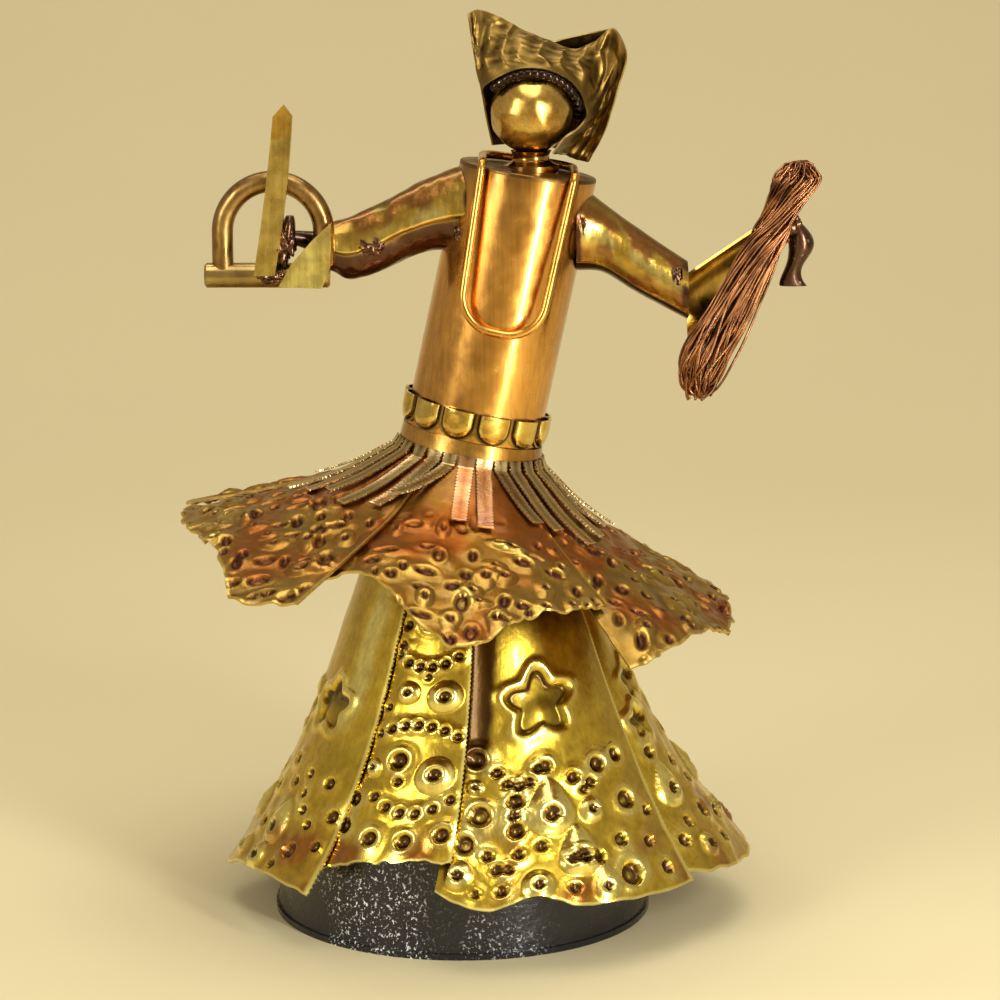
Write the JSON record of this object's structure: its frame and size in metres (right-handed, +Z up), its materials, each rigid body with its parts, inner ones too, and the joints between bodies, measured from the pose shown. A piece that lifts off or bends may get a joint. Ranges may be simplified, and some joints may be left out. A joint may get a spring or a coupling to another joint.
{
  "type": "sheet brass dancer statuette",
  "caption": "Whirling folk dancer cut and brazed from sheet brass and copper, with flared skirts, a headscarf, a whisk and a frame with a stick, on a round black plinth.",
  "frame": {"origin": "centre of the plinth's flat underside", "axes": "+Z up, the figure faces -Y, +X towards the viewer's right, where the whisk is held"},
  "size_m": [0.2066, 0.1937, 0.2969],
  "materials": {
    "black_lacquer": "turned wood under black gloss lacquer, lightly speckled",
    "rod_steel": "plain rod, hidden inside the skirt",
    "skirt_brass": "repousse sheet, polished high spots over olive hollows, lacquered",
    "bronzed_sheet": "hammered sheet, copper-brown heat patina, bright cut edge",
    "copper": "brushed and lacquered copper",
    "dark_bronze": "brazing bronze, dark brown with bright specks",
    "olive_brass": "creased sheet with olive-brown patina",
    "aged_brass": "brushed golden-olive brass",
    "bright_brass": "polished brass"
  },
  "bodies": {
    "figure": {"base_plinth": "black_lacquer", "drum_stick": "bright_brass", "frame_bar": "aged_brass", "frame_bow": "aged_brass", "frame_plate": "bright_brass", "head_ball": "bright_brass", "headband": "dark_bronze", "left_forearm": "dark_bronze", "left_hand": "dark_bronze", "left_sleeve": "aged_brass", "neck_ferrule": "bright_brass", "overskirt_panel_1": "bronzed_sheet", "overskirt_panel_2": "bronzed_sheet", "overskirt_panel_3": "bronzed_sheet", "overskirt_panel_4": "bronzed_sheet", "overskirt_panel_5": "bronzed_sheet", "right_forearm": "aged_brass", "right_hand": "dark_bronze", "right_sleeve": "aged_brass", "scarf_back": "olive_brass", "scarf_front": "olive_brass", "shoulder_cap": "olive_brass", "strap_01": "bronzed_sheet", "strap_02": "bronzed_sheet", "strap_03": "bronzed_sheet", "strap_04": "bronzed_sheet", "strap_05": "bronzed_sheet", "strap_06": "copper", "strap_07": "copper", "strap_08": "copper", "strap_09": "copper", "strap_10": "bronzed_sheet", "strap_11": "bronzed_sheet", "strap_12": "bronzed_sheet", "strap_13": "bronzed_sheet", "strap_14": "bronzed_sheet", "strap_15": "bronzed_sheet", "strap_16": "bronzed_sheet", "strap_17": "bronzed_sheet", "strap_18": "bronzed_sheet", "strap_19": "bronzed_sheet", "strap_20": "bronzed_sheet", "strap_21": "bronzed_sheet", "strap_22": "bronzed_sheet", "support_rod": "rod_steel", "torso_tube": "copper", "underskirt_gore_1": "skirt_brass", "underskirt_gore_2": "skirt_brass", "underskirt_gore_3": "skirt_brass", "underskirt_gore_4": "skirt_brass", "underskirt_gore_5": "skirt_brass", "underskirt_gore_6": "skirt_brass", "underskirt_gore_7": "skirt_brass", "waist_belt": "bright_brass", "waist_block": "bright_brass", "waist_collar": "bright_brass", "whisk_wires": "copper"},
    "necklace": {"necklace": "copper"}
  },
  "joints": [
    {"name": "necklace_swing", "type": "hinge", "parent": "figure", "child": "necklace", "pos_m": [0.02193, 0.0126, 0.24782], "axis": [-0.989, 0, 0.1478], "range_deg": [0, 16]}
  ]
}
